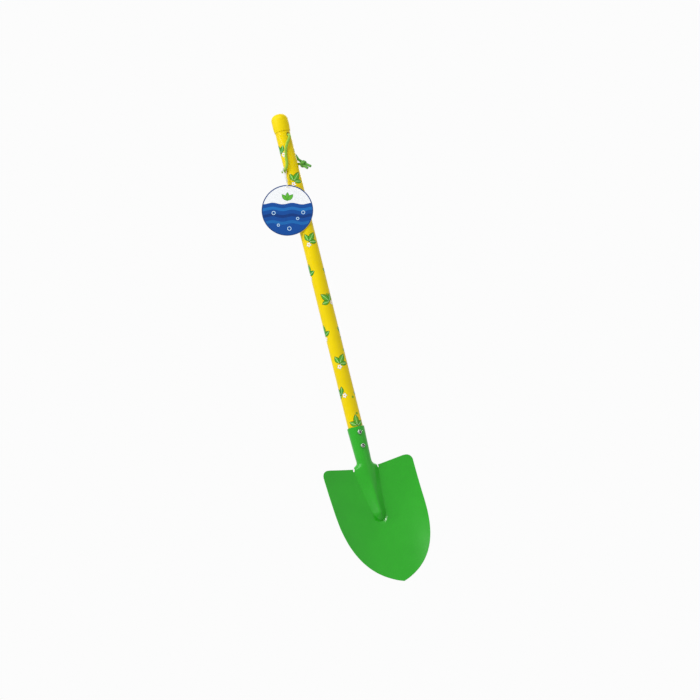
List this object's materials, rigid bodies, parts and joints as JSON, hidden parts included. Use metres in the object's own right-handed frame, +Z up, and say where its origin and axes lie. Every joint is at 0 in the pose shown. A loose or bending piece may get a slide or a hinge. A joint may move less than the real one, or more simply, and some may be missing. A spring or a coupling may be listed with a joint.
{
  "type": "childrens spade",
  "caption": "Small garden or beach spade with a dished round-point steel blade, rolled socket, straight film-covered stick handle, end cap, hanging cord and card tag.",
  "frame": {"origin": "on the handle's axis where a hand grips it, 150 mm above the rim of the socket", "axes": "+Z up along the handle towards the end cap, -Y to the front (the hollow side of the blade), +X to the right seen from the front"},
  "size_m": [0.1387, 0.0665, 0.7086],
  "materials": {
    "green_powder_coat": "semi-gloss powder coat on pressed steel",
    "bare_wood": "turned, uncoated",
    "yellow_film": "glossy printed shrink film",
    "yellow_plastic": "moulded, satin",
    "zinc_steel": "zinc plated",
    "green_cord": "braided cord",
    "white_string": "twisted cotton",
    "printed_card": "laminated card"
  },
  "bodies": {
    "spade": {"blade": "green_powder_coat", "handle_shaft": "bare_wood", "handle_film": "yellow_film", "end_cap": "yellow_plastic", "socket_screw_upper": "zinc_steel", "socket_screw_lower": "zinc_steel", "cord_front_strand": "green_cord", "cord_rear_strand": "green_cord", "cord_knot": "green_cord"},
    "tag_string": {"tag_string": "white_string"},
    "swing_tag": {"swing_tag": "printed_card"}
  },
  "joints": [
    {"name": "string_swing", "type": "hinge", "parent": "spade", "child": "tag_string", "pos_m": [-0.01366, -0.00711, 0.2396], "axis": [-0.4617, 0.887, 0], "range_deg": [0, 75]},
    {"name": "tag_swing", "type": "hinge", "parent": "tag_string", "child": "swing_tag", "pos_m": [-0.01572, -0.00775, 0.2132], "axis": [-0.2924, -0.9563, 0], "range_deg": [-60, 60]}
  ]
}
